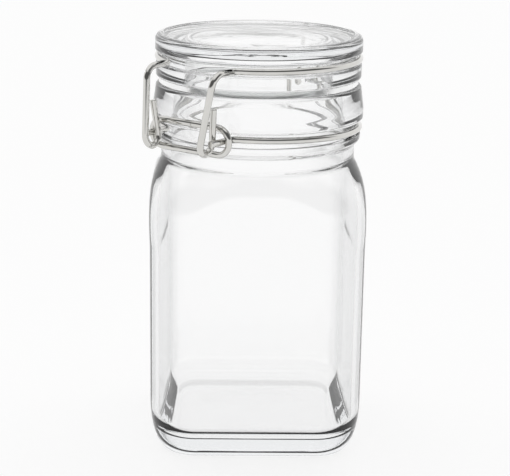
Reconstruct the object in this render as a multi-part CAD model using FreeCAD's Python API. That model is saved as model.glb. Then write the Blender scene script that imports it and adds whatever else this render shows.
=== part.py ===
import FreeCAD, Part
import math
import os

# Clip-top preserving jar: square glass body, round neck, glass lid on a wire bail, clear gasket.
# Frame: millimetres, +Z up, origin at the middle of the foot, one flat face of the body towards -Y.
# The wire closure is laid out in its own frame: front towards -Y, x to the side, then turned about Z.

V = FreeCAD.Vector

# ---- body ------------------------------------------------------------------------------------
BODY_HALF = 52.3            # half the width over the flats
BODY_CORNER = 23.0          # corner radius in plan
HEEL_INSET = 8.5            # how far the rounded heel runs in under the body
HEEL_HEIGHT = 25.0          # how high the heel reaches
HEEL_STEPS = 7              # sections in the heel's quarter ellipse
SHOULDER_BASE = 104.0       # the straight body ends here
SHOULDER_TOP = 143.0        # the round neck starts here
# the shoulder, from the body up: height, then how much of the step out from the neck is left at the
# flats and at the corners, each as a share
SHOULDER_SHAPE = [
    (0.0, 1.0, 1.0), (0.13, 1.055, 0.995), (0.28, 1.105, 0.965), (0.43, 1.12, 0.905), (0.58, 1.08, 0.795),
    (0.69, 0.975, 0.68), (0.78, 0.81, 0.55), (0.86, 0.57, 0.385), (0.925, 0.3, 0.215), (0.97, 0.1, 0.085),
    (1.0, 0.0, 0.008)]
WALL = 4.1                  # glass at the flats
FLOOR = 9.3                 # glass at the middle of the floor, over the foot plane
FLOOR_INSET = 10.0          # rounding between the inner wall and the floor, sideways
FLOOR_RISE = 11.0           # the same rounding, upwards
INNER_SHOULDER_DROP = 1.5   # the inner shoulder starts this far below the outer one
INNER_SHOULDER_RISE = 1.0   # and ends this far above it
PUSH_UP_RADIUS = 33.0       # shallow hollow under the foot
PUSH_UP_DEPTH = 0.4
LAP = 1.0                   # how far one stretch of a solid runs into the next before they are joined
LAP_STEP = 0.12             # and how far inside it there, so that no two faces coincide
TOUCH = 1e-6                # points closer than this are one point

# ---- neck and mouth --------------------------------------------------------------------------
# names in _OUT, _IN and _OFF are steps from the size beside them, so that the pieces keep their fits
MOUTH_RADIUS = 43.0         # bore of the neck
NECK_WALL = 4.9             # glass between the bore and the outside of the neck
NECK_HEIGHT = 7.6           # plain neck between the shoulder and the collar
COLLAR_OUT = 2.7            # ring under the neck wire, over the neck
COLLAR_HEIGHT = 5.7
COLLAR_FILLET = 1.6
COLLAR_RISE = 2.3           # height of the collar's sloping underside
COLLAR_ROUND = 2.4
COLLAR_EDGE = 0.6
NECK_GROOVE_OUT = 0.1       # floor of the groove that holds the neck wire, over the neck
BEAD_OUT = 3.9              # band above the neck wire, upright below and slightly conical above
BEAD_TAPER = 1.5            # the band's top is this much narrower
BEAD_HEIGHT = 16.9          # up to the sealing face
BEAD_EDGE = 1.4
BEAD_UPRIGHT = 6.2          # height of the upright part
BEAD_ROUND = 12.0           # rounding between the two parts
MOUTH_OUTER_ROUND = 2.0
MOUTH_INNER_ROUND = 1.3

# ---- gasket and lid --------------------------------------------------------------------------
SEAL_GAP = 0.05             # the unloaded gasket stands this far off the glass, each side
GASKET_THICKNESS = 3.1
GASKET_IN = 1.4             # the gasket's edge lies this far inside the top of the bead
GASKET_LAP = 0.4            # and its hole is this much narrower than the bore
GASKET_EDGE = 0.4
LID_OUT = 0.4               # upper flange, over the top of the bead
LID_RIM_DROP = 2.2          # the outer edge lies this far below the crest's corner
LID_RIM_ROUND = 2.8
LID_LOW_IN = 0.3            # the lower flange is this much narrower
LID_LOW_FLANGE = 7.0        # height of the lower flange
LID_HIGH_FLANGE = 8.8       # height of the upper flange, to the corner of the crest before rounding
LID_EDGE = 0.9              # rounding of the flanges' other edges
LID_GROOVE_DEPTH = 3.3
LID_CREST_IN = 2.5          # the crest lies this far inside the upper flange
LID_CREST_ROUND = 3.0
LID_DISH_IN = 5.5           # and the dish this far
LID_DISH_DEPTH = 1.8        # below the crest's corner
LID_DISH_ROUND = 6.0
LID_DISH_SAG = 0.2          # the dish is this much lower in its middle
LID_ROOF = 6.0              # glass between the dish and the hollow
PLUG_PLAY = 1.4             # between the bore and the part of the lid inside it
PLUG_DEPTH = 6.0
PLUG_EDGE = 1.6
PLUG_WALL = 5.0             # glass between the plug and the hollow, at the plug's end
LID_HOLLOW_DRAFT = 0.6      # the hollow is this much narrower at its ceiling, before it is rounded
LID_HOLLOW_ROUND = 4.0      # the ceiling runs into the sides in this radius

# ---- wires -----------------------------------------------------------------------------------
WIRE = 1.6                  # radius of all three wires
CLOSURE_ANGLE = 37.3        # the closure's front, turned from -Y towards -X
EXIT_BEND = 4.5             # bend radius where a wire leaves its groove
LID_RING_OFF = 0.4          # between the lid wire and the floor of its groove
LID_RING_UNDER = 0.85       # room in the groove under the lid wire
LID_RING_OVER = 1.35        # and over it
NECK_RING_OFF = 0.3         # between the neck wire and the floor of its groove
NECK_RING_UNDER = 1.5       # room in the groove under the neck wire
NECK_RING_OVER = 1.8        # and over it
NECK_RING_TILT = 1.3        # the ring's front is pulled up, its back down, by this much
LOOP_OFF = 0.45             # between the bead and the oval keeper ring
LOOP_RISE = 1.1             # the keeper ring's middle over the neck wire's ring
LOOP_END_RADIUS = 6.4
LOOP_HALF = 22.7            # half its length, to the middle of the wire
LOOP_BUTT_GAP = 0.15        # where its two ends meet
LOOP_BUTT_SIDE = 1.4
ARM_CLEARANCE = 0.05        # between the arms and the ends of the keeper ring
ARM_PAST = 6.2              # the arms end this far in front of the prongs' feet
HOOK_OFF = 0.15             # between the hooks and the keeper ring
HOOK_PLAY = 0.45            # between the hooks and the arms
HOOK_LENGTH = 10.5          # from the prong's foot to the leg's foot
HOOK_DROP = 4.9             # the hooks hang this far under the keeper ring's middle
HOOK_LEAN = 0.3             # the hooks' back ends lie this much closer together
HOOK_BEND = 4.9
LEG_SPREAD = 3.8            # the legs are this much further apart at the top, each
LEG_REACH = 12.0            # from the lid wire's ring to the top of the legs
LEG_BEND = 7.0
PRONG_HEIGHT = 21.1
PRONG_SPREAD = 2.1          # the prongs lean out and forward by this much
PRONG_LEAN = 2.1

# ---- rear hinge ------------------------------------------------------------------------------
HINGE_DROP = 3.7            # the hinge's axis lies this far under the sealing face
HINGE_PLAY = 0.06           # running clearance, on the radius
BRIDGE_OFF = 0.64           # between the bead and the lid wire's bridge
BRIDGE_RISE = 4.2
BRIDGE_BEND = 3.4
HUMP_SIDE = 17.0            # half the width of the neck wire's rear hump
HUMP_BEND = 4.2
TAIL_SIDE = 9.5             # half the distance between the lid wire's tails
TAIL_BEND = 4.2

# ---- what follows from these -----------------------------------------------------------------
CENTRE_AXIS = V(0, 0, 1)
NECK_RADIUS = MOUTH_RADIUS + NECK_WALL
COLLAR_RADIUS = NECK_RADIUS + COLLAR_OUT
COLLAR_FOOT = SHOULDER_TOP + NECK_HEIGHT
COLLAR_TOP = COLLAR_FOOT + COLLAR_HEIGHT
NECK_GROOVE_RADIUS = NECK_RADIUS + NECK_GROOVE_OUT
NECK_RING_RADIUS = NECK_GROOVE_RADIUS + NECK_RING_OFF + WIRE
NECK_RING_Z = COLLAR_TOP + NECK_RING_UNDER + WIRE
BEAD_RADIUS = NECK_RADIUS + BEAD_OUT
BEAD_TOP_RADIUS = BEAD_RADIUS - BEAD_TAPER
BEAD_FOOT = NECK_RING_Z + WIRE + NECK_RING_OVER
MOUTH_TOP = BEAD_FOOT + BEAD_HEIGHT
GASKET_OUTER = BEAD_TOP_RADIUS - GASKET_IN
GASKET_INNER = MOUTH_RADIUS - GASKET_LAP
GASKET_FOOT = MOUTH_TOP + SEAL_GAP
LID_FOOT = GASKET_FOOT + GASKET_THICKNESS + SEAL_GAP
LID_RADIUS = BEAD_TOP_RADIUS + LID_OUT
LID_LOW_RADIUS = LID_RADIUS - LID_LOW_IN
LID_GROOVE_RADIUS = LID_RADIUS - LID_GROOVE_DEPTH
LID_RING_RADIUS = LID_GROOVE_RADIUS + LID_RING_OFF + WIRE
LID_RING_HEIGHT = LID_LOW_FLANGE + LID_RING_UNDER + WIRE
LID_GROOVE_WIDTH = LID_RING_UNDER + 2 * WIRE + LID_RING_OVER
LID_HEIGHT = LID_LOW_FLANGE + LID_GROOVE_WIDTH + LID_HIGH_FLANGE
LID_CREST_RADIUS = LID_RADIUS - LID_CREST_IN
LID_DISH_RADIUS = LID_RADIUS - LID_DISH_IN
LID_HOLLOW_CEILING = LID_HEIGHT - LID_DISH_DEPTH - LID_DISH_SAG - LID_ROOF
PLUG_RADIUS = MOUTH_RADIUS - PLUG_PLAY
LID_HOLLOW_RADIUS = PLUG_RADIUS - PLUG_WALL
LOOP_Y = BEAD_RADIUS + LOOP_OFF + WIRE
LOOP_Z = NECK_RING_Z + LOOP_RISE
ARM_SIDE = LOOP_HALF - 2 * WIRE - ARM_CLEARANCE
HOOK_SIDE = ARM_SIDE - 2 * WIRE - HOOK_PLAY
HOOK_BACK_SIDE = HOOK_SIDE - HOOK_LEAN
HOOK_BACK_Y = LOOP_Y + 2 * WIRE + HOOK_OFF
HOOK_FRONT_Y = HOOK_BACK_Y + HOOK_LENGTH
HOOK_Z = LOOP_Z - HOOK_DROP
LEG_SIDE = HOOK_SIDE + LEG_SPREAD
LEG_TOP_Y = LID_RING_RADIUS + LEG_REACH
PRONG_TIP_SIDE = HOOK_SIDE + PRONG_SPREAD
PRONG_TIP_Y = HOOK_BACK_Y + PRONG_LEAN
PRONG_TIP_Z = HOOK_Z + PRONG_HEIGHT
ARM_TIP_Y = HOOK_BACK_Y + ARM_PAST
HINGE_REACH = 2 * WIRE + HINGE_PLAY
BRIDGE_Y = BEAD_RADIUS + BRIDGE_OFF + WIRE
HINGE_Y = BRIDGE_Y + HINGE_REACH
HINGE_Z = MOUTH_TOP - HINGE_DROP


def rounded_square(half, corner, z):
    """Closed wire of four lines and four arcs, starting on the +X side."""
    k = half - corner
    d = corner * math.sqrt(0.5)
    edges = []
    for turn in range(4):
        a = math.radians(90 * turn)
        c, s = math.cos(a), math.sin(a)

        def at(x, y):
            return V(x * c - y * s, x * s + y * c, z)
        edges.append(Part.makeLine(at(half, -k), at(half, k)))
        edges.append(Part.Arc(at(half, k), at(k + d, k + d), at(k, half)).toShape())
    return Part.Wire(edges)


def corner_for(half, diagonal):
    """Corner radius that gives a rounded square this half width and this half diagonal."""
    return (half * math.sqrt(2) - diagonal) / (math.sqrt(2) - 1)


def shoulder_sections(neck, half, corner, low, high):
    """Sections from the square body up to the round neck: the flats hold out, the corners sweep in."""
    diagonal = (half - corner) * math.sqrt(2) + corner
    out = []
    for height, at_flat, at_corner in SHOULDER_SHAPE:
        flat = neck + (half - neck) * at_flat
        far = neck + (diagonal - neck) * at_corner
        out.append((low + (high - low) * height, flat, corner_for(flat, far)))
    return out


def heel_sections(half, corner, inset, height, foot, steps):
    """Sections of an elliptical heel, from the foot up to the straight wall."""
    out = []
    for i in range(steps):
        a = math.radians(90.0 * i / steps)
        step_in = inset * (1 - math.sin(a))
        out.append((foot + height * (1 - math.cos(a)), half - step_in, corner - step_in))
    out.append((foot + height, half, corner))
    return out


def loft(sections):
    return Part.makeLoft([rounded_square(w, c, z) for z, w, c in sections], True, False)


def rounded_edges(corners):
    """Closed outline in the x-z plane from (radius, z, rounding) corners: lines joined by tangent arcs."""
    spots = [V(r, 0, z) for r, z, rounding in corners]
    count = len(corners)
    ends = []
    for i in range(count):
        here = spots[i]
        rounding = corners[i][2]
        u = (spots[i - 1] - here).normalize()
        w = (spots[(i + 1) % count] - here).normalize()
        half = u.getAngle(w) / 2
        reach = rounding / math.tan(half) if rounding else 0.0
        towards = (u + w).normalize() if rounding else V(0, 0, 0)
        middle = here + towards * (rounding / math.sin(half) - rounding)
        ends.append((here + u * reach, middle, here + w * reach))
    edges = []
    for i in range(count):
        start, middle, end = ends[i]
        ahead = ends[(i + 1) % count][0]
        if corners[i][2]:
            edges.append(Part.Arc(start, middle, end).toShape())
        if end.distanceToPoint(ahead) > TOUCH:
            edges.append(Part.makeLine(end, ahead))
    return edges


def revolve(corners):
    """Solid of revolution from a closed outline of (radius, z, rounding) corners."""
    return Part.Face(Part.Wire(rounded_edges(corners))).revolve(V(0, 0, 0), CENTRE_AXIS, 360)


def make_push_up():
    """What is cut out under the foot: a shallow spherical cap, from below the foot plane."""
    ball = (PUSH_UP_RADIUS ** 2 + PUSH_UP_DEPTH ** 2) / (2 * PUSH_UP_DEPTH)
    part_way = PUSH_UP_RADIUS / 2
    part_height = math.sqrt(ball ** 2 - part_way ** 2) - (ball - PUSH_UP_DEPTH)
    dome = Part.Arc(V(PUSH_UP_RADIUS, 0, 0), V(part_way, 0, part_height), V(0, 0, PUSH_UP_DEPTH)).toShape()
    below = [V(0, 0, PUSH_UP_DEPTH), V(0, 0, -LAP), V(PUSH_UP_RADIUS, 0, -LAP), V(PUSH_UP_RADIUS, 0, 0)]
    edges = [dome] + [Part.makeLine(below[i], below[i + 1]) for i in range(3)]
    return Part.Face(Part.Wire(edges)).revolve(V(0, 0, 0), CENTRE_AXIS, 360)


def make_outside():
    """Heel, straight body and shoulder as lofts, and the neck as a solid of revolution."""
    heel = loft(heel_sections(BODY_HALF, BODY_CORNER, HEEL_INSET, HEEL_HEIGHT, 0.0, HEEL_STEPS))
    wall = loft([(HEEL_HEIGHT, BODY_HALF, BODY_CORNER), (SHOULDER_BASE, BODY_HALF, BODY_CORNER)])
    upper = loft(shoulder_sections(NECK_RADIUS, BODY_HALF, BODY_CORNER, SHOULDER_BASE, SHOULDER_TOP))
    neck = revolve([
        (0, SHOULDER_TOP - LAP, 0),
        (NECK_RADIUS - LAP_STEP, SHOULDER_TOP - LAP, 0),
        (NECK_RADIUS - LAP_STEP, SHOULDER_TOP, 0),
        (NECK_RADIUS, COLLAR_FOOT, COLLAR_FILLET),
        (COLLAR_RADIUS, COLLAR_FOOT + COLLAR_RISE, COLLAR_ROUND),
        (COLLAR_RADIUS, COLLAR_TOP, COLLAR_EDGE),
        (NECK_GROOVE_RADIUS, COLLAR_TOP, 0),
        (NECK_GROOVE_RADIUS, BEAD_FOOT, 0),
        (BEAD_RADIUS, BEAD_FOOT, BEAD_EDGE),
        (BEAD_RADIUS, BEAD_FOOT + BEAD_UPRIGHT, BEAD_ROUND),
        (BEAD_TOP_RADIUS, MOUTH_TOP, MOUTH_OUTER_ROUND),
        (0, MOUTH_TOP, 0),
    ])
    return heel.cut(make_push_up()).fuse([wall, upper, neck]).removeSplitter()


def make_inside():
    """The room inside: the outside's sections less the wall, and a straight bore through the neck."""
    half = BODY_HALF - WALL
    corner = BODY_CORNER - WALL
    low = SHOULDER_BASE - INNER_SHOULDER_DROP
    high = SHOULDER_TOP + INNER_SHOULDER_RISE
    pit = loft(heel_sections(half, corner, FLOOR_INSET, FLOOR_RISE, FLOOR, HEEL_STEPS))
    room = loft([(FLOOR + FLOOR_RISE, half, corner), (low, half, corner)])
    dome = loft(shoulder_sections(MOUTH_RADIUS, half, corner, low, high))
    bore = revolve([
        (0, high - LAP, 0),
        (MOUTH_RADIUS - LAP_STEP, high - LAP, 0),
        (MOUTH_RADIUS - LAP_STEP, high, 0),
        (MOUTH_RADIUS, MOUTH_TOP - MOUTH_INNER_ROUND, 0),
        (MOUTH_RADIUS, MOUTH_TOP + LAP, 0),
        (0, MOUTH_TOP + LAP, 0),
    ])
    return pit.fuse([room, dome, bore])


def make_mouth_rounding():
    """The ring of glass that the rounding takes off the mouth's inner edge."""
    r = MOUTH_INNER_ROUND
    q = r * (1 - math.sqrt(0.5))
    corner = V(MOUTH_RADIUS, 0, MOUTH_TOP)
    across = corner + V(r, 0, 0)
    below = corner - V(0, 0, r)
    edges = [Part.Arc(across, corner + V(q, 0, -q), below).toShape(),
             Part.makeLine(below, corner - V(LAP, 0, r)),
             Part.makeLine(corner - V(LAP, 0, r), corner + V(-LAP, 0, LAP)),
             Part.makeLine(corner + V(-LAP, 0, LAP), across + V(0, 0, LAP)),
             Part.makeLine(across + V(0, 0, LAP), across)]
    return Part.Face(Part.Wire(edges)).revolve(V(0, 0, 0), CENTRE_AXIS, 360)


def make_jar():
    return make_outside().cut(make_inside()).cut(make_mouth_rounding())


def make_lid():
    groove = LID_FOOT + LID_LOW_FLANGE
    upper = groove + LID_GROOVE_WIDTH
    crest = LID_FOOT + LID_HEIGHT
    ceiling = LID_FOOT + LID_HOLLOW_CEILING
    plug_end = LID_FOOT - PLUG_DEPTH
    return revolve([
        (0, ceiling, 0),
        (LID_HOLLOW_RADIUS - LID_HOLLOW_DRAFT, ceiling, LID_HOLLOW_ROUND),
        (LID_HOLLOW_RADIUS, plug_end, PLUG_EDGE),
        (PLUG_RADIUS, plug_end, PLUG_EDGE),
        (PLUG_RADIUS, LID_FOOT, 0),
        (LID_LOW_RADIUS, LID_FOOT, LID_EDGE),
        (LID_LOW_RADIUS, groove, LID_EDGE),
        (LID_GROOVE_RADIUS, groove, 0),
        (LID_GROOVE_RADIUS, upper, 0),
        (LID_RADIUS, upper, LID_EDGE),
        (LID_RADIUS, crest - LID_RIM_DROP, LID_RIM_ROUND),
        (LID_CREST_RADIUS, crest, LID_CREST_ROUND),
        (LID_DISH_RADIUS, crest - LID_DISH_DEPTH, LID_DISH_ROUND),
        (0, crest - LID_DISH_DEPTH - LID_DISH_SAG, 0),
    ])


def make_gasket():
    top = GASKET_FOOT + GASKET_THICKNESS
    return revolve([
        (GASKET_INNER, GASKET_FOOT, 0),
        (GASKET_OUTER, GASKET_FOOT, GASKET_EDGE),
        (GASKET_OUTER, top, GASKET_EDGE),
        (GASKET_INNER, top, 0),
    ])


def bent_path(points):
    """Edges of straight runs joined by tangent arcs. Each point is (vector, bend radius); a point may
    instead be ('arc', middle, end) for an arc from the last point, to which the neighbours are tangent."""
    edges = []
    last = points[0][0]
    for i in range(1, len(points)):
        p = points[i]
        if p[0] == 'arc':
            edges.append(Part.Arc(last, p[1], p[2]).toShape())
            last = p[2]
            continue
        here, radius = p
        if radius <= 0:
            edges.append(Part.makeLine(last, here))
            last = here
            continue
        ahead = points[i + 1][0]
        u = (last - here).normalize()
        w = (ahead - here).normalize()
        half = u.getAngle(w) / 2
        reach = radius / math.tan(half)
        start = here + u * reach
        end = here + w * reach
        to_centre = (u + w).normalize()
        centre = here + to_centre * (radius / math.sin(half))
        middle = centre - to_centre * radius
        if last.distanceToPoint(start) > TOUCH:
            edges.append(Part.makeLine(last, start))
        edges.append(Part.Arc(start, middle, end).toShape())
        last = end
    return Part.Wire(edges)


def wire_solid(path):
    """Round wire of radius WIRE along a path."""
    first = path.OrderedEdges[0]
    start = first.valueAt(first.FirstParameter)
    along = first.tangentAt(first.FirstParameter)
    if path.OrderedVertexes[0].Point.distanceToPoint(start) > TOUCH:
        start = first.valueAt(first.LastParameter)
        along = first.tangentAt(first.LastParameter) * -1
    ring = Part.Wire([Part.makeCircle(WIRE, start, along)])
    return path.makePipeShell([ring], True, False)


def ring_exit(ring_radius, side, bend, front):
    """Where a run at x = side leaves a ring: the run's start, the middle of the bend and the point on the
    ring, all in the ring's plane. The bend lies outside the ring, away from the middle."""
    cx = side + bend
    cy = math.sqrt((ring_radius + bend) ** 2 - cx ** 2)
    sign = -1 if front else 1
    centre = V(cx, sign * cy, 0)
    on_run = V(side, sign * cy, 0)
    on_ring = centre * (ring_radius / (ring_radius + bend))
    middle = centre + ((on_run - centre).normalize() + (on_ring - centre).normalize()).normalize() * bend
    return on_run, middle, on_ring


def make_lid_wire():
    z = LID_FOOT + LID_RING_HEIGHT
    up = V(0, 0, z)
    run_f, mid_f, ring_f = [p + up for p in ring_exit(LID_RING_RADIUS, LEG_SIDE, EXIT_BEND, True)]
    run_r, mid_r, ring_r = [p + up for p in ring_exit(LID_RING_RADIUS, TAIL_SIDE, EXIT_BEND, False)]
    side = V(LID_RING_RADIUS, 0, z)
    tail_y = HINGE_Y + HINGE_REACH
    tail = V(TAIL_SIDE, tail_y, HINGE_Z)
    under = V(TAIL_SIDE, HINGE_Y, HINGE_Z - HINGE_REACH)
    riser = V(TAIL_SIDE, BRIDGE_Y, HINGE_Z)
    bridge = V(TAIL_SIDE, BRIDGE_Y, HINGE_Z + BRIDGE_RISE)

    def flip(p):
        return V(-p.x, p.y, p.z)
    tip = V(PRONG_TIP_SIDE, -PRONG_TIP_Y, PRONG_TIP_Z)
    back = V(HOOK_BACK_SIDE, -HOOK_BACK_Y, HOOK_Z)
    front = V(HOOK_SIDE, -HOOK_FRONT_Y, HOOK_Z)
    knee = V(LEG_SIDE, -LEG_TOP_Y, z)
    heel = V(TAIL_SIDE, tail_y, z)
    points = [
        (tip, 0), (back, HOOK_BEND), (front, HOOK_BEND), (knee, LEG_BEND), (run_f, 0),
        ('arc', mid_f, ring_f), ('arc', side, ring_r), ('arc', mid_r, run_r),
        (heel, TAIL_BEND), (tail, 0), ('arc', under, riser), (bridge, BRIDGE_BEND),
        (flip(bridge), BRIDGE_BEND), (flip(riser), 0), ('arc', flip(under), flip(tail)),
        (flip(heel), TAIL_BEND), (flip(run_r), 0), ('arc', flip(mid_r), flip(ring_r)),
        ('arc', flip(side), flip(ring_f)), ('arc', flip(mid_f), flip(run_f)),
        (flip(knee), LEG_BEND), (flip(front), HOOK_BEND), (flip(back), HOOK_BEND), (flip(tip), 0),
    ]
    return wire_solid(bent_path(points))


def make_neck_wire():
    lean = NECK_RING_TILT / NECK_RING_RADIUS

    def tilt(p):
        return V(p.x, p.y, NECK_RING_Z - p.y * lean)

    def flip(p):
        return V(-p.x, p.y, p.z)
    run_f, mid_f, ring_f = [tilt(p) for p in ring_exit(NECK_RING_RADIUS, ARM_SIDE, EXIT_BEND, True)]
    run_r, mid_r, ring_r = [tilt(p) for p in ring_exit(NECK_RING_RADIUS, HUMP_SIDE, EXIT_BEND, False)]
    side = tilt(V(NECK_RING_RADIUS, 0, 0))
    tip = tilt(V(ARM_SIDE, -ARM_TIP_Y, 0))
    foot = tilt(V(HUMP_SIDE, HINGE_Y, 0))
    top = V(HUMP_SIDE, HINGE_Y, HINGE_Z)
    points = [
        (tip, 0), (run_f, 0), ('arc', mid_f, ring_f), ('arc', side, ring_r), ('arc', mid_r, run_r),
        (foot, HUMP_BEND), (top, HUMP_BEND), (flip(top), HUMP_BEND), (flip(foot), HUMP_BEND),
        (flip(run_r), 0), ('arc', flip(mid_r), flip(ring_r)), ('arc', flip(side), flip(ring_f)),
        ('arc', flip(mid_f), flip(run_f)), (flip(tip), 0),
    ]
    return wire_solid(bent_path(points))


def make_keeper():
    r = LOOP_END_RADIUS
    k = LOOP_HALF - r
    top = LOOP_Z + r
    low = LOOP_Z - r
    y = -LOOP_Y
    gap = LOOP_BUTT_GAP / 2
    points = [
        (V(LOOP_BUTT_SIDE + gap, y, top), 0), (V(k, y, top), 0),
        ('arc', V(LOOP_HALF, y, LOOP_Z), V(k, y, low)), (V(-k, y, low), 0),
        ('arc', V(-LOOP_HALF, y, LOOP_Z), V(-k, y, top)), (V(LOOP_BUTT_SIDE - gap, y, top), 0),
    ]
    return wire_solid(bent_path(points))


def main():
    os.makedirs("parts", exist_ok=True)
    shapes = {
        "jar_glass": make_jar(),
        "lid_glass": make_lid(),
        "gasket": make_gasket(),
        "lid_wire": make_lid_wire(),
        "neck_wire": make_neck_wire(),
        "keeper_ring": make_keeper(),
    }
    for name in ("lid_wire", "neck_wire", "keeper_ring"):
        shapes[name].rotate(V(0, 0, 0), CENTRE_AXIS, -CLOSURE_ANGLE)
    for name, shape in shapes.items():
        if len(shape.Solids) != 1:
            raise ValueError(name + " is not one solid: " + str(len(shape.Solids)))
        solid = shape.Solids[0]
        if not solid.isValid() or solid.Volume <= 0:
            raise ValueError(name + " is not a sound solid")
        solid.exportStep("parts/" + name + ".step")
        print(name, "volume", round(solid.Volume / 1000, 2), "cm3, box",
              [round(v, 2) for v in (solid.BoundBox.XMin, solid.BoundBox.XMax, solid.BoundBox.YMin,
                                     solid.BoundBox.YMax, solid.BoundBox.ZMin, solid.BoundBox.ZMax)])


main()
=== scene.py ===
# %% [markdown]
# # An airtight glass jar with a wire closure
# The real object is a clip-top preserving jar: a square body of pressed soda-lime glass with a round
# neck, a thick glass lid, a clear silicone gasket and three bent steel wires that hinge the lid and hold
# it down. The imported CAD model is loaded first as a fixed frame, in metres, with the jar's foot at z = 0.
# Every piece made here sits in that same frame, so nothing is fitted afterwards.

# %% load the frame
import math

import bpy
import numpy as np
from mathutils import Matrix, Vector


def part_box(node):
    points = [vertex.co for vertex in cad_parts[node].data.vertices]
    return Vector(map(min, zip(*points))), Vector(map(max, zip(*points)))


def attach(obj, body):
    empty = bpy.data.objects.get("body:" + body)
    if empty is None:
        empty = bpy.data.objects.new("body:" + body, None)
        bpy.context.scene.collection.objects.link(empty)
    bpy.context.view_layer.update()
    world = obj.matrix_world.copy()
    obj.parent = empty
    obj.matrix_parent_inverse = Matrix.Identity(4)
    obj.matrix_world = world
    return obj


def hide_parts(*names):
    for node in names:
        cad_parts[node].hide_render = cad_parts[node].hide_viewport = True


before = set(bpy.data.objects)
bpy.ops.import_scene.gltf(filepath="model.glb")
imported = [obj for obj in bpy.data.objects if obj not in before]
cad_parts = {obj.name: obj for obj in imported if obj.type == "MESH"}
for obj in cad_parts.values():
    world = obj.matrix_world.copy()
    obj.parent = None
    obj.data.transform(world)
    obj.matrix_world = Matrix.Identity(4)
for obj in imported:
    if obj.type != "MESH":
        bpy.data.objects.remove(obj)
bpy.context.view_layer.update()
MM = 0.001
JAR_LOW, JAR_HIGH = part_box("jar_glass")
LID_LOW, LID_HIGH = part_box("lid_glass")
print("jar, mm:", [round(v / MM, 1) for v in (*JAR_LOW, *JAR_HIGH)])

# %% [markdown]
# ## Grids of points
# A pressed or turned shape is a surface of two parameters: one runs along a profile from the foot to the
# rim, the other runs round the axis. Working the whole grid out as one numpy array is quick, and it gives
# even four-sided faces, which a smooth transparent surface needs: a stray triangle would show as a kink
# in whatever is seen through the glass.

# %% turn a grid of points into a mesh
def grid_mesh(name, points, ring=False):
    """A mesh from points[row, column]: columns run round and close on themselves, rows run along. In a ring
    the last row meets the first; otherwise a fan of triangles to its middle shuts the first and last row."""
    rows, columns = points.shape[:2]
    number = np.arange(rows * columns).reshape(rows, columns)
    after = np.roll(number, -1, axis=1)
    above, above_after = np.roll(number, -1, axis=0), np.roll(after, -1, axis=0)
    quads = np.stack([number, after, above_after, above], axis=-1)
    faces = quads[:rows if ring else rows - 1].reshape(-1, 4).tolist()
    vertices = points.reshape(-1, 3)
    if not ring:
        vertices = np.vstack([vertices, points[0].mean(0), points[-1].mean(0)])
        low, high = rows * columns, rows * columns + 1
        faces += np.stack([after[0], number[0], np.full(columns, low)], axis=-1).tolist()
        faces += np.stack([number[-1], after[-1], np.full(columns, high)], axis=-1).tolist()
    mesh = bpy.data.meshes.new(name)
    mesh.from_pydata(vertices.tolist(), [], faces)
    mesh.shade_smooth()
    mesh.update()
    piece = bpy.data.objects.new(name, mesh)
    bpy.context.scene.collection.objects.link(piece)
    print(name, "faces:", len(mesh.polygons))
    return piece


# %% [markdown]
# ## Profiles
# The mould and the lathe leave no sharp edge on glass, so a profile is a list of corners, each with its
# own rounding. A straight stretch gets extra points, closer together near its ends: smooth shading then
# bends only where the glass really does, and a flat wall stays flat to the eye.

# %% round the corners of a profile
def straight(a, b, spacing):
    """Points from a to b without b: evenly spread by a cosine, so that they crowd at both ends."""
    count = max(3, int(np.ceil(np.linalg.norm(b - a) / spacing)))
    share = (1 - np.cos(np.linspace(0, np.pi, count, endpoint=False))) / 2
    return a + (b - a) * share[:, None]


def rounded_profile(corners, spacing=3.0, turn_step=9.0):
    """Points along straight runs joined by tangent arcs. Each corner is (radius, height, rounding) in mm;
    an arc's centre lies on the corner's bisector, at rounding / sin(half angle) from the corner."""
    spots = np.array([c[:2] for c in corners], float)
    out = []
    last = spots[0]
    for i in range(1, len(corners) - 1):
        corner, rounding = spots[i], corners[i][2]
        u = (spots[i - 1] - corner) / np.linalg.norm(spots[i - 1] - corner)
        w = (spots[i + 1] - corner) / np.linalg.norm(spots[i + 1] - corner)
        half = np.arccos(np.clip(u @ w, -1, 1)) / 2
        reach = rounding / np.tan(half)
        start, end = corner + u * reach, corner + w * reach
        centre = corner + (u + w) / np.linalg.norm(u + w) * rounding / np.sin(half)
        out.append(straight(last, start, spacing))
        steps = max(3, int(np.ceil(np.degrees(np.pi - 2 * half) / turn_step)) + 1)
        t = np.linspace(0, 1, steps, endpoint=False)[:, None]
        sweep = np.pi - 2 * half
        a, b = start - centre, end - centre
        out.append(centre + (a * np.sin((1 - t) * sweep) + b * np.sin(t * sweep)) / np.sin(sweep))
        last = end
    out.append(straight(last, spots[-1], spacing))
    out.append(spots[-1:])
    return np.vstack(out)


# %% turn a profile about the axis
def turned(profile, columns):
    """points[row, column] = (radius cos a, radius sin a, height), for a full turn of a, in metres."""
    a = np.linspace(0, 2 * np.pi, columns, endpoint=False)
    r, z = profile[:, :1], profile[:, 1:2]
    return np.stack([r * np.cos(a), r * np.sin(a), z + 0 * a], axis=-1) * MM


# %% [markdown]
# ## The jar's sizes
# These are the jar's own driving sizes, in millimetres, as the solid model has them. Outside and inside
# are drawn from the same ones, so the wall keeps its thickness. The height of the mouth and the lid's
# place are read from the frame.

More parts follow.
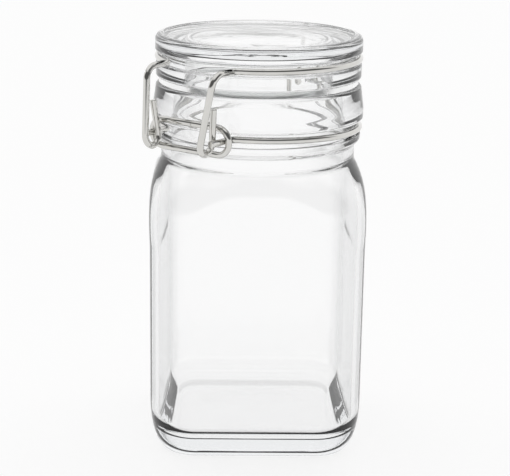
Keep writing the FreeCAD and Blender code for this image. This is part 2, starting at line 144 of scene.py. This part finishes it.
# %% named sizes
SHOULDER_BULGE = 0.53
BODY_HALF = JAR_HIGH.x / MM - SHOULDER_BULGE
BODY_CORNER = 23.0
HEEL_INSET = 8.5
HEEL_HEIGHT = 25.0
SHOULDER_BASE = 104.0
SHOULDER_TOP = 143.0
SHOULDER_SHAPE = np.array([
    (0.0, 1.0, 1.0), (0.13, 1.055, 0.995), (0.28, 1.105, 0.965), (0.43, 1.12, 0.905), (0.58, 1.08, 0.795),
    (0.69, 0.975, 0.68), (0.78, 0.81, 0.55), (0.86, 0.57, 0.385), (0.925, 0.3, 0.215), (0.97, 0.1, 0.085),
    (1.0, 0.0, 0.008)])
WALL = 4.1
FLOOR = 9.3
FLOOR_INSET = 10.0
FLOOR_RISE = 11.0
PUSH_UP_RADIUS = 33.0
PUSH_UP_DEPTH = 0.4
NECK_RADIUS = 47.9
MOUTH_RADIUS = 43.0
MOUTH_TOP = JAR_HIGH.z / MM
LAP = 1.0
INNER_BASE = SHOULDER_BASE - 1.5
COLUMNS = 320
print("half width of the body, mm:", round(BODY_HALF, 2), "mouth at", round(MOUTH_TOP, 2))

# %% [markdown]
# ## The jar
# Each level of the jar is a rounded square, from the foot's flat ring to the body, and a circle from the
# neck up. Both are the same curve: a circle is a rounded square whose corner radius is its half width. So
# one table of (height, half width, corner radius) describes the whole jar, outside and inside, and the
# two skins meet over the mouth in a single closed surface, as real glass does.

# %% the plan curve of one level
def plan_angles(columns):
    """Angles round the jar, a third of them on the flats and the rest on the corners, mirrored in every
    eighth of a turn."""
    eighth = columns // 8
    flat = eighth // 3
    edge = math.radians(29.0)
    on_flat = edge * (1 - np.cos(np.linspace(0, np.pi, flat, endpoint=False))) / 2
    on_corner = np.linspace(edge, np.pi / 4, eighth - flat, endpoint=False)
    first = np.concatenate([on_flat, on_corner])
    quarter = np.concatenate([first, [np.pi / 4], np.pi / 2 - first[:0:-1]])
    return np.concatenate([quarter + i * np.pi / 2 for i in range(4)])


def levels_to_points(levels, angles):
    """Radius of a rounded square at polar angle a: half width / cos a on the flat; on the corner, the far
    crossing of the ray with the circle of the corner radius round (k, k), where k is half width less
    corner radius. Folded so that a lies within an eighth of a turn."""
    z, w, c = levels[:, 0:1], levels[:, 1:2], levels[:, 2:3]
    folded = np.abs((angles + np.pi / 4) % (np.pi / 2) - np.pi / 4)
    k = w - c
    along = k * (np.cos(folded) + np.sin(folded))
    corner = along + np.sqrt(np.maximum(along ** 2 - 2 * k ** 2 + c ** 2, 0))
    radius = np.where(w * np.tan(folded) <= k, w / np.cos(folded), corner)
    return np.stack([radius * np.cos(angles), radius * np.sin(angles), z + 0 * radius], axis=-1) * MM


# %% the levels of the heel, the shoulder and a round stretch
def heel_levels(half, corner, inset, height, foot, steps=16):
    """A quarter of an ellipse: sideways inset (1 - sin a), upwards height (1 - cos a)."""
    a = np.linspace(0, np.pi / 2, steps)
    step_in = inset * (1 - np.sin(a))
    return np.stack([foot + height * (1 - np.cos(a)), half - step_in, corner - step_in], axis=-1)


def smooth_table(x, table):
    """Cubic through the table's rows, with each row's slope taken from its two neighbours."""
    xs, ys = table[:, 0], table[:, 1:]
    slope = np.gradient(ys, xs, axis=0)
    i = np.clip(np.searchsorted(xs, x, side="right") - 1, 0, len(xs) - 2)
    h = (xs[i + 1] - xs[i])[:, None]
    t = ((x - xs[i])[:, None]) / h
    return ((1 + 2 * t) * (1 - t) ** 2 * ys[i] + t * (1 - t) ** 2 * h * slope[i]
            + t ** 2 * (3 - 2 * t) * ys[i + 1] + t ** 2 * (t - 1) * h * slope[i + 1])


def shoulder_levels(neck, half, corner, low, high, steps=44):
    """From the square body to the round neck. The flats and the corners each keep their own share of the
    step out from the neck; the corner radius then follows from half width w and half diagonal d as
    (w sqrt 2 - d) / (sqrt 2 - 1)."""
    height = np.linspace(0, 1, steps)
    shares = smooth_table(height, SHOULDER_SHAPE)
    diagonal = (half - corner) * math.sqrt(2) + corner
    flat = neck + (half - neck) * shares[:, 0]
    far = neck + (diagonal - neck) * shares[:, 1]
    round_off = np.minimum((flat * math.sqrt(2) - far) / (math.sqrt(2) - 1), flat)
    return np.stack([low + (high - low) * height, flat, round_off], axis=-1)


def round_levels(profile):
    """A turned stretch: half width and corner radius are both the radius."""
    return np.stack([profile[:, 1], profile[:, 0], profile[:, 0]], axis=-1)


def wall_levels(low, high, half, corner, steps=14):
    """Heights from low to high by a cosine, without either end, all with one half width and corner."""
    share = (1 - np.cos(np.linspace(0, np.pi, steps))) / 2
    z = low + (high - low) * share
    return np.stack([z, 0 * z + half, 0 * z + corner], axis=-1)[1:-1]


# %% outside of the jar, from the middle of the foot to the mouth
def push_up_levels():
    """A shallow spherical hollow, then the flat ring of the foot, which widens from round to square."""
    r = np.linspace(0.5, PUSH_UP_RADIUS, 12)
    ball = (PUSH_UP_RADIUS ** 2 + PUSH_UP_DEPTH ** 2) / (2 * PUSH_UP_DEPTH)
    z = np.sqrt(ball ** 2 - r ** 2) - (ball - PUSH_UP_DEPTH)
    hollow = np.stack([z, r, r], axis=-1)
    t = np.linspace(0, 1, 6)[1:-1]
    foot_half, foot_corner = BODY_HALF - HEEL_INSET, BODY_CORNER - HEEL_INSET
    ring = np.stack([0 * t, PUSH_UP_RADIUS + (foot_half - PUSH_UP_RADIUS) * t,
                     PUSH_UP_RADIUS + (foot_corner - PUSH_UP_RADIUS) * t], axis=-1)
    return np.vstack([hollow, ring])


MOUTH_OUTSIDE = [
    (NECK_RADIUS, SHOULDER_TOP, 0), (NECK_RADIUS, 150.6, 1.6), (50.6, 152.9, 2.4), (50.6, 156.3, 0.6),
    (48.0, 156.3, 0.25), (48.0, 162.8, 0.25), (51.8, 162.8, 1.4), (51.8, 169.0, 12.0),
    (50.3, MOUTH_TOP, 2.0), (MOUTH_RADIUS, MOUTH_TOP, 1.3), (MOUTH_RADIUS, SHOULDER_TOP + LAP, 0)]
outside = np.vstack([
    push_up_levels(),
    heel_levels(BODY_HALF, BODY_CORNER, HEEL_INSET, HEEL_HEIGHT, 0.0),
    wall_levels(HEEL_HEIGHT, SHOULDER_BASE, BODY_HALF, BODY_CORNER),
    shoulder_levels(NECK_RADIUS, BODY_HALF, BODY_CORNER, SHOULDER_BASE, SHOULDER_TOP)[:-1],
    round_levels(rounded_profile(MOUTH_OUTSIDE)),
])

# %% inside of the jar, from the neck down to the middle of the floor
INNER_HALF = BODY_HALF - WALL
INNER_CORNER = BODY_CORNER - WALL
inside_up = np.vstack([
    heel_levels(INNER_HALF, INNER_CORNER, FLOOR_INSET, FLOOR_RISE, FLOOR),
    wall_levels(FLOOR + FLOOR_RISE, INNER_BASE, INNER_HALF, INNER_CORNER),
    shoulder_levels(MOUTH_RADIUS, INNER_HALF, INNER_CORNER, INNER_BASE, SHOULDER_TOP + LAP)[:-1],
])
t = np.linspace(1, 0, 9, endpoint=False)[1:]
floor_levels = np.stack([0 * t + FLOOR, (INNER_HALF - FLOOR_INSET) * t, (INNER_CORNER - FLOOR_INSET) * t],
                        axis=-1)
angles = plan_angles(COLUMNS)
jar_points = levels_to_points(np.vstack([outside, inside_up[::-1], floor_levels]), angles)
jar = grid_mesh("jar_clear_glass", jar_points)
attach(jar, "jar")
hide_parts("jar_glass")

# %% [markdown]
# ## The lid
# The lid is pressed glass too: two flanges with a groove between them for the wire, a shallow dish on
# top, and a plug that drops into the mouth with a hollow inside. It is round, so one profile turned about
# the axis makes it, from the middle of the top, down the outside, and back up the hollow.

# %% lid profile
LID_FOOT = LID_LOW.z / MM + 6.0
LID_TOP = LID_HIGH.z / MM
LID_CREST = LID_FOOT + 21.2
GROOVE_LOW, GROOVE_HIGH = LID_FOOT + 7.0, LID_FOOT + 12.4
LID_PROFILE = [
    (0.3, LID_CREST - 2.0, 0), (45.2, LID_CREST - 1.8, 6.0), (48.2, LID_CREST, 3.0),
    (50.7, LID_CREST - 2.2, 2.8), (50.7, GROOVE_HIGH, 0.9), (47.4, GROOVE_HIGH, 0.25),
    (47.4, GROOVE_LOW, 0.25), (50.4, GROOVE_LOW, 0.9),
    (50.4, LID_FOOT, 0.9), (41.6, LID_FOOT, 0.25), (41.6, LID_FOOT - 6.0, 1.6), (36.6, LID_FOOT - 6.0, 1.6),
    (36.0, LID_FOOT + 13.2, 4.0), (0.3, LID_FOOT + 13.2, 0)]
profile = rounded_profile(LID_PROFILE, spacing=2.5)
lid = grid_mesh("lid_clear_glass", turned(profile[::-1], 256))
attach(lid, "lid")
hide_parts("lid_glass")
print("lid top, mm:", round(profile[:, 1].max(), 2), "CAD", round(LID_TOP, 2))

# %% [markdown]
# ## The gasket
# A flat ring of clear silicone, square in section with its outer edges just broken. It lies between the
# mouth and the lid.

# %% gasket profile
GASKET_LOW, GASKET_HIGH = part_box("gasket")
seal_low, seal_high = GASKET_LOW.z / MM, GASKET_HIGH.z / MM
SEAL_INNER, SEAL_OUTER = 42.6, GASKET_HIGH.x / MM


def ring_profile(inner, outer, low, high, rounding):
    """A rectangle with rounded outer corners, closed on itself."""
    return rounded_profile([
        (inner, low + 1.5, 0), (inner, low, 0.12), (outer, low, rounding), (outer, high, rounding),
        (inner, high, 0.12), (inner, low + 1.5, 0)], spacing=1.0)[:-1]


seal_profile = ring_profile(SEAL_INNER, SEAL_OUTER, seal_low, seal_high, 0.45)
seal_points = np.swapaxes(turned(seal_profile, 256), 0, 1)
gasket = grid_mesh("clear_silicone_gasket", seal_points, ring=True)
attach(gasket, "lid")
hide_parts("gasket")

# %% [markdown]
# ## The wires
# Each wire is one rod bent on a former: straight runs joined by arcs that touch them. The route is a list
# of corners with their bend radii, and arcs where the wire lies in a groove. A circle is then carried
# along the route. Its frame is built from one fixed direction that no run is parallel to, which works for
# all stations at once.

# %% the route of a bent wire
def arc_through(a, m, b, step):
    """Points on the circle through a, m and b, without b: centre c from the perpendicular bisectors, then
    c + (a - c) cos s + n x (a - c) sin s, with n the circle's own axis."""
    u, v = m - a, b - a
    n = np.cross(u, v)
    c = a + (np.dot(v, v) * np.cross(n, u) + np.dot(u, u) * np.cross(v, n)) / (2 * np.dot(n, n))
    n /= np.linalg.norm(n)
    e1 = a - c
    e2 = np.cross(n, e1)
    total = math.atan2(np.dot(b - c, e2), np.dot(b - c, e1)) % (2 * np.pi)
    s = np.linspace(0, total, max(4, int(total * np.linalg.norm(e1) / step)), endpoint=False)[:, None]
    return c + e1 * np.cos(s) + e2 * np.sin(s)


def wire_route(points, step=0.7):
    """Points along the route. Each stop is (place, bend radius); ("arc", middle, end) is an arc from the
    last place."""
    out = []
    last = points[0][0]
    for i in range(1, len(points)):
        stop = points[i]
        if isinstance(stop[0], str):
            out.append(arc_through(last, stop[1], stop[2], step))
            last = stop[2]
            continue
        here, radius = stop
        end = here
        if radius > 0:
            ahead = points[i + 1][0]
            u, w = last - here, ahead - here
            u, w = u / np.linalg.norm(u), w / np.linalg.norm(w)
            half = np.arccos(u @ w) / 2
            middle_way = (u + w) / np.linalg.norm(u + w)
            start, end = here + u * radius / np.tan(half), here + w * radius / np.tan(half)
            middle = here + middle_way * (radius / np.sin(half) - radius)
            if np.linalg.norm(start - last) > 0.02:
                out.append(straight(last, start, 2.0))
            out.append(arc_through(start, middle, end, step))
        else:
            out.append(straight(last, here, 2.0))
        last = end
    out.append(last[None, :])
    return np.vstack(out)


# %% carry a circle along the route
AROUND = 28
STEADY = np.array([0.36, 0.48, 0.80])


def wire_mesh(name, route, radius, round_end=0.35):
    """points[station, angle] = route + radius (p cos a + q sin a), where p is the steady direction made
    square to the route and q their cross product. The last stations shrink to the wire's rounded end."""
    along = np.gradient(route, axis=0)
    along /= np.linalg.norm(along, axis=1, keepdims=True)
    p = STEADY - along * (along @ STEADY)[:, None]
    p /= np.linalg.norm(p, axis=1, keepdims=True)
    q = np.cross(along, p)
    s = np.linspace(0, np.pi / 2, 5)
    shrink = radius - round_end * (1 - np.sin(s))
    back = round_end * (1 - np.cos(s))
    centres = np.vstack([route[:1] + along[:1] * back[:, None], route[1:-1],
                         (route[-1:] - along[-1:] * back[:, None])[::-1]])
    radii = np.concatenate([shrink, np.full(len(route) - 2, radius), shrink[::-1]])
    p = np.vstack([np.repeat(p[:1], 5, 0), p[1:-1], np.repeat(p[-1:], 5, 0)])
    q = np.vstack([np.repeat(q[:1], 5, 0), q[1:-1], np.repeat(q[-1:], 5, 0)])
    a = np.linspace(0, 2 * np.pi, AROUND, endpoint=False)
    ring = p[:, None] * np.cos(a)[None, :, None] + q[:, None] * np.sin(a)[None, :, None]
    return grid_mesh(name, (centres[:, None] + ring * radii[:, None, None]) * MM)


# %% [markdown]
# ## Where the wires go
# The closure is laid out in its own frame, front towards -Y, and then turned about the jar's axis. The
# lid's wire runs from one prong through a hook, up a leg, round the lid's groove to the back, under the
# hinge bar and the same way back. The neck's wire runs from one arm round the neck to the hump that
# carries the hinge bar. The small oval ring keeps the two arms together.

# %% sizes of the wires
WIRE = 1.6
LID_RING_RADIUS, LID_RING_Z = 49.4, LID_FOOT + 9.45
NECK_RING_RADIUS, NECK_RING_Z, NECK_RING_LEAN = 49.9, 159.4, 1.3 / 49.9
EXIT_BEND = 4.5
LEG_SIDE, TAIL_SIDE, HUMP_SIDE = 19.6, 9.5, 17.0
HINGE_Y, HINGE_Z, HINGE_PLAY = 57.3, 176.0, 0.06
CLOSURE_TURN = math.radians(-37.3)
LOOP_HALF, LOOP_END, LOOP_Y, LOOP_Z = 22.7, 6.4, -53.85, 160.5
ARM_SIDE = LOOP_HALF - 2 * WIRE - 0.05


def vec(x, y, z):
    return np.array([x, y, z], float)


def leave_ring(ring_radius, side, bend, sign):
    """A run at x = side leaves the ring: the bend's circle touches the ring from outside, so its centre is
    ring radius + bend from the axis. Gives the run's start, the bend's middle and the point on the ring."""
    cx = side + bend
    cy = sign * math.sqrt((ring_radius + bend) ** 2 - cx ** 2)
    centre, on_run = vec(cx, cy, 0), vec(side, cy, 0)
    on_ring = centre * ring_radius / (ring_radius + bend)
    u = (on_run - centre) / bend + (on_ring - centre) / np.linalg.norm(on_ring - centre)
    return on_run, centre + u / np.linalg.norm(u) * bend, on_ring


def flip(stop):
    """The same stop on the other side."""
    other = vec(-1, 1, 1)
    if isinstance(stop[0], str):
        return (stop[0], stop[1] * other, stop[2] * other)
    return (stop[0] * other, stop[1])


def turn_closure(points):
    """Turns points about the jar's axis, from the closure's own frame to the jar's."""
    c, s = math.cos(CLOSURE_TURN), math.sin(CLOSURE_TURN)
    x, y, z = points.T
    return np.stack([x * c - y * s, x * s + y * c, z], axis=-1)


# %% lid wire
lift = vec(0, 0, LID_RING_Z)
run_f, mid_f, ring_f = [p + lift for p in leave_ring(LID_RING_RADIUS, LEG_SIDE, EXIT_BEND, -1)]
run_r, mid_r, ring_r = [p + lift for p in leave_ring(LID_RING_RADIUS, TAIL_SIDE, EXIT_BEND, 1)]
REACH = 2 * WIRE + HINGE_PLAY
tail = vec(TAIL_SIDE, HINGE_Y + REACH, HINGE_Z)
riser = vec(TAIL_SIDE, HINGE_Y - REACH, HINGE_Z)
lid_half = [
    (vec(17.9, -59.3, 176.7), 0), (vec(15.5, -57.2, 155.6), 4.9), (vec(15.8, -67.7, 155.6), 4.9),
    (vec(LEG_SIDE, -61.4, LID_RING_Z), 7.0), (run_f, 0), ("arc", mid_f, ring_f),
    ("arc", vec(LID_RING_RADIUS, 0, LID_RING_Z), ring_r), ("arc", mid_r, run_r),
    (vec(TAIL_SIDE, HINGE_Y + REACH, LID_RING_Z), 4.2), (tail, 0),
    ("arc", vec(TAIL_SIDE, HINGE_Y, HINGE_Z - REACH), riser),
    (vec(TAIL_SIDE, HINGE_Y - REACH, HINGE_Z + 4.2), 3.4)]


def mirrored_route(half):
    """The half route, then the same stops mirrored and in reverse. An arc is reversed by giving it the
    place that the stop before it ended on."""
    places = [stop[2] if isinstance(stop[0], str) else stop[0] for stop in half]
    back = []
    for i in range(len(half) - 1, -1, -1):
        if i < len(half) - 1 and isinstance(half[i + 1][0], str):
            back.append(flip(("arc", half[i + 1][1], places[i])))
        elif isinstance(half[i][0], str):
            back.append(flip((places[i], 0)))
        else:
            back.append(flip(half[i]))
    return half + back


lid_route = turn_closure(wire_route(mirrored_route(lid_half)))
lid_wire = wire_mesh("lid_steel_wire", lid_route, WIRE)
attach(lid_wire, "lid")
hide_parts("lid_wire")

# %% neck wire
def lean(p):
    """The neck ring's height at p: its middle height less y times the lean, so that it dips at the back."""
    return vec(p[0], p[1], NECK_RING_Z - p[1] * NECK_RING_LEAN)


arm_f, bend_f, neck_f = [lean(p) for p in leave_ring(NECK_RING_RADIUS, ARM_SIDE, EXIT_BEND, -1)]
arm_r, bend_r, neck_r = [lean(p) for p in leave_ring(NECK_RING_RADIUS, HUMP_SIDE, EXIT_BEND, 1)]
neck_half = [
    (lean(vec(ARM_SIDE, -63.4, 0)), 0), (arm_f, 0), ("arc", bend_f, neck_f),
    ("arc", lean(vec(NECK_RING_RADIUS, 0, 0)), neck_r), ("arc", bend_r, arm_r),
    (lean(vec(HUMP_SIDE, HINGE_Y, 0)), 4.2), (vec(HUMP_SIDE, HINGE_Y, HINGE_Z), 4.2)]
neck_route = turn_closure(wire_route(mirrored_route(neck_half)))
neck_wire = wire_mesh("neck_steel_wire", neck_route, WIRE)
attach(neck_wire, "jar")
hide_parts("neck_wire")

# %% keeper ring
k, butt, gap = LOOP_HALF - LOOP_END, 1.4, 0.075
keeper_stops = [
    (vec(butt + gap, LOOP_Y, LOOP_Z + LOOP_END), 0), (vec(k, LOOP_Y, LOOP_Z + LOOP_END), 0),
    ("arc", vec(LOOP_HALF, LOOP_Y, LOOP_Z), vec(k, LOOP_Y, LOOP_Z - LOOP_END)),
    (vec(-k, LOOP_Y, LOOP_Z - LOOP_END), 0),
    ("arc", vec(-LOOP_HALF, LOOP_Y, LOOP_Z), vec(-k, LOOP_Y, LOOP_Z + LOOP_END)),
    (vec(butt - gap, LOOP_Y, LOOP_Z + LOOP_END), 0)]
keeper = wire_mesh("keeper_steel_ring", turn_closure(wire_route(keeper_stops)), WIRE, round_end=0.25)
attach(keeper, "jar")
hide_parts("keeper_ring")

# %% [markdown]
# ## Materials
# Soda-lime glass is colourless across a thin wall and slightly blue-grey where one looks along it, so most
# of its colour is in the depth of the glass. Its surface also carries a painted shade: grey where it turns
# away from the eye, more so on upright walls, and darkest in a thin line at its outline. That painted shade
# isn't a property of the glass: it stands in for the darker room that thick walls gather.

# %% colour and node helpers
def colour(code):
    """sRGB hex to linear RGBA: ((c + 0.055) / 1.055) ^ 2.4, or c / 12.92 near black."""
    c = np.array([int(code[i:i + 2], 16) for i in (1, 3, 5)]) / 255
    linear = np.where(c <= 0.04045, c / 12.92, ((c + 0.055) / 1.055) ** 2.4)
    return (*linear.tolist(), 1.0)


def add_node(tree, kind, settings=None, **links):
    """A node with its settings as attributes. Each link sets an input by name (underscores for spaces): a
    socket is connected, anything else is the value."""
    node = tree.nodes.new(kind)
    for key, value in (settings or {}).items():
        setattr(node, key, value)
    for key, value in links.items():
        socket = node.inputs[int(key[1:])] if key[0] == "i" and key[1:].isdigit() else node.inputs[
            key.replace("_", " ")]
        if isinstance(value, bpy.types.NodeSocket):
            tree.links.new(value, socket)
        else:
            socket.default_value = value
    return node


def ramp(tree, socket, low, high):
    """0 below low, 1 above high, smooth between; with low over high it falls instead."""
    start, end = (0.0, 1.0) if low < high else (1.0, 0.0)
    node = add_node(tree, "ShaderNodeMapRange", {"interpolation_type": "SMOOTHSTEP"}, Value=socket,
                    i1=min(low, high), i2=max(low, high), i3=start, i4=end)
    return node.outputs[0]


def combine(tree, operation, a, b):
    """One arithmetic node."""
    return add_node(tree, "ShaderNodeMath", {"operation": operation}, i0=a, i1=b).outputs[0]


def new_material(name):
    """An empty material and its node tree."""
    material = bpy.data.materials.new(name)
    material.use_nodes = True
    material.node_tree.nodes.clear()
    return material, material.node_tree


# %% soda-lime glass
PAINTED_SIDE_SHADE = 0.32


def soda_lime_glass():
    """Pressed container glass, fire-polished: clear, with a trace of iron that greys long paths. Its surface
    also carries a painted shade, grey where it turns away from the eye.
    """
    material, tree = new_material("pressed_soda_lime_glass")
    facing = add_node(tree, "ShaderNodeLayerWeight", None, Blend=0.5)
    place = add_node(tree, "ShaderNodeTexCoord")
    turned_to = add_node(tree, "ShaderNodeSeparateXYZ", None, Vector=place.outputs["Normal"])
    level = add_node(tree, "ShaderNodeMath", {"operation": "ABSOLUTE"}, i0=turned_to.outputs["Z"]).outputs[0]
    # painted shade, strongest on upright walls and falling to none on level glass, so the flat top of the lid
    # stays clear
    upright = combine(tree, "MULTIPLY", ramp(tree, level, 0.6, 0.2), PAINTED_SIDE_SHADE)
    # painted shade on the sides: greyer as the glass turns away from the eye
    painted_side_shade = combine(tree, "MULTIPLY", upright, ramp(tree, facing.outputs["Facing"], 0.1, 0.8))
    # painted shade at the outline: a thin dark line where the glass is seen edge-on
    edge = combine(tree, "MAXIMUM", painted_side_shade, ramp(tree, facing.outputs["Facing"], 0.88, 1.0))
    # the grey below is the colour of the painted shade, at the sides and at the outline; the near-white is
    # the clear glass
    painted_shade_colour = add_node(tree, "ShaderNodeMix", {"data_type": "RGBA"}, i0=edge,
                    i6=colour("#fefefe"), i7=colour("#565a5e"))
    drawn_out = add_node(tree, "ShaderNodeMapping", None, Vector=place.outputs["Object"],
                         Scale=(1.0, 1.0, 0.25))
    flow = add_node(tree, "ShaderNodeTexNoise", None, Vector=drawn_out.outputs[0], Scale=1 / (14.0 * MM),
                    Detail=1.0)
    waves = add_node(tree, "ShaderNodeBump", None, Strength=1.0, Distance=0.03 * MM, Height=flow.outputs[0])
    shader = add_node(tree, "ShaderNodeBsdfPrincipled", None, Base_Color=painted_shade_colour.outputs[2], Roughness=0.0,
                      IOR=1.52, Transmission_Weight=1.0, Normal=waves.outputs[0])
    depth = add_node(tree, "ShaderNodeVolumeAbsorption", None, Color=colour("#e4e7ea"), Density=5.0)
    add_node(tree, "ShaderNodeOutputMaterial", None, Surface=shader.outputs[0], Volume=depth.outputs[0])
    return material


glass = soda_lime_glass()
for piece in (jar, lid):
    piece.data.materials.append(glass)

# %% silicone and steel
def clear_silicone():
    """Moulded silicone rubber: translucent, a little milky, with a soft sheen."""
    material, tree = new_material("moulded_clear_silicone")
    place = add_node(tree, "ShaderNodeTexCoord")
    cloud = add_node(tree, "ShaderNodeTexNoise", None, Vector=place.outputs["Object"], Scale=1 / (6.0 * MM),
                     Detail=2.0)
    milk = add_node(tree, "ShaderNodeMix", {"data_type": "RGBA"}, i0=cloud.outputs[0],
                    i6=colour("#e6e9e8"), i7=colour("#f3f4f4"))
    skin = add_node(tree, "ShaderNodeMapRange", None, Value=cloud.outputs[0], i1=0.3, i2=0.7, i3=0.17,
                    i4=0.27)
    shader = add_node(tree, "ShaderNodeBsdfPrincipled", None, Base_Color=milk.outputs[2],
                      Roughness=skin.outputs[0], IOR=1.41, Transmission_Weight=0.92)
    add_node(tree, "ShaderNodeOutputMaterial", None, Surface=shader.outputs[0])
    return material


def drawn_steel():
    """Stainless wire drawn through a die and polished: mirror-like, with fine scratches and dull spots."""
    material, tree = new_material("drawn_stainless_wire")
    place = add_node(tree, "ShaderNodeTexCoord")
    spots = add_node(tree, "ShaderNodeTexNoise", None, Vector=place.outputs["Object"], Scale=1 / (9.0 * MM),
                     Detail=3.0)
    shade = add_node(tree, "ShaderNodeMix", {"data_type": "RGBA"}, i0=spots.outputs[0],
                     i6=colour("#c9c8c4"), i7=colour("#dddcd9"))
    dull = add_node(tree, "ShaderNodeMapRange", None, Value=spots.outputs[0], i1=0.3, i2=0.7, i3=0.05,
                    i4=0.10)
    scratches = add_node(tree, "ShaderNodeTexNoise", None, Vector=place.outputs["Object"],
                         Scale=1 / (0.35 * MM), Detail=2.0)
    relief = add_node(tree, "ShaderNodeBump", None, Strength=0.25, Distance=0.004 * MM,
                      Height=scratches.outputs[0])
    shader = add_node(tree, "ShaderNodeBsdfPrincipled", None, Base_Color=shade.outputs[2],
                      Roughness=dull.outputs[0], Metallic=1.0, Normal=relief.outputs[0])
    add_node(tree, "ShaderNodeOutputMaterial", None, Surface=shader.outputs[0])
    return material


gasket.data.materials.append(clear_silicone())
steel = drawn_steel()
for piece in (lid_wire, neck_wire, keeper):
    piece.data.materials.append(steel)
print("materials:", [m.name for m in bpy.data.materials if m.users])

# %% [markdown]
# ## The camera
# It stands about 0.8 m in front and looks down at 16 degrees, with a long lens, so the jar's upright sides
# stay nearly parallel and the top of the lid shows as a thin ellipse.

# %% camera
scene = bpy.context.scene
camera = bpy.data.objects.new("camera", bpy.data.cameras.new("camera"))
scene.collection.objects.link(camera)
camera.location = (-0.01746, -0.72954, 0.30658)
camera.rotation_euler = (1.2943, -0.0149, -0.0189)
camera.data.lens = 105.86
camera.data.sensor_width = 36.0
camera.data.clip_end = 20.0
scene.camera = camera
print("camera to the jar's axis, m:", round(math.hypot(camera.location.x, camera.location.y), 3))

# %% [markdown]
# ## The floor
# The floor is a matt grey paint with a glow added that brings it to white. The camera, mirrors and glass all
# see that glow alike, so the jar shows the same floor it stands on. The glow gives no light to matt surfaces,
# and the jar's soft shadow still falls on the paint.

# %% floor
PAINT, GLOW = 0.20, 0.84
bpy.ops.mesh.primitive_circle_add(vertices=128, radius=2.5, fill_type="NGON", location=(0, 0, -0.0002))
floor = bpy.context.object
floor.name = "floor"
material, tree = new_material("matt_white_floor")
path = add_node(tree, "ShaderNodeLightPath")
seen = combine(tree, "MAXIMUM", path.outputs["Is Camera Ray"],
               combine(tree, "MAXIMUM", path.outputs["Is Glossy Ray"], path.outputs["Is Transmission Ray"]))
paint = add_node(tree, "ShaderNodeBsdfDiffuse", None, Color=(PAINT, PAINT, PAINT, 1))
glow = add_node(tree, "ShaderNodeEmission", None, Color=(1, 1, 1, 1),
                Strength=combine(tree, "MULTIPLY", seen, GLOW))
both = add_node(tree, "ShaderNodeAddShader", None, i0=paint.outputs[0], i1=glow.outputs[0])
add_node(tree, "ShaderNodeOutputMaterial", None, Surface=both.outputs[0])
floor.data.materials.append(material)
print("floor: paint", PAINT, "glow", GLOW)

# %% [markdown]
# ## The light
# The surround is a plain studio, and every ray sees the same one: white near the horizon and below it, white
# behind the jar, bright overhead, and darker above the horizon in front, where the room is. The polished
# wire reflects some of that darker part as a thin line.

# %% world
ROOM = 0.12
world = bpy.data.worlds.new("studio")
scene.world = world
world.use_nodes = True
tree = world.node_tree
tree.nodes.clear()
way = add_node(tree, "ShaderNodeTexCoord")
parts = add_node(tree, "ShaderNodeSeparateXYZ", None, Vector=way.outputs["Generated"])
backdrop = ramp(tree, parts.outputs["Z"], 0.24, 0.16)
ceiling = ramp(tree, parts.outputs["Z"], 0.74, 0.92)
behind = ramp(tree, parts.outputs["Y"], -0.15, 0.25)
bright = combine(tree, "MAXIMUM", combine(tree, "MAXIMUM", backdrop, ceiling), behind)
studio = add_node(tree, "ShaderNodeBackground", None, Color=(1, 1, 1, 1),
                  Strength=combine(tree, "MAXIMUM", bright, ROOM))
add_node(tree, "ShaderNodeOutputWorld", None, Surface=studio.outputs[0])

scene.view_settings.view_transform = "Standard"
print("surround: room strength", ROOM)
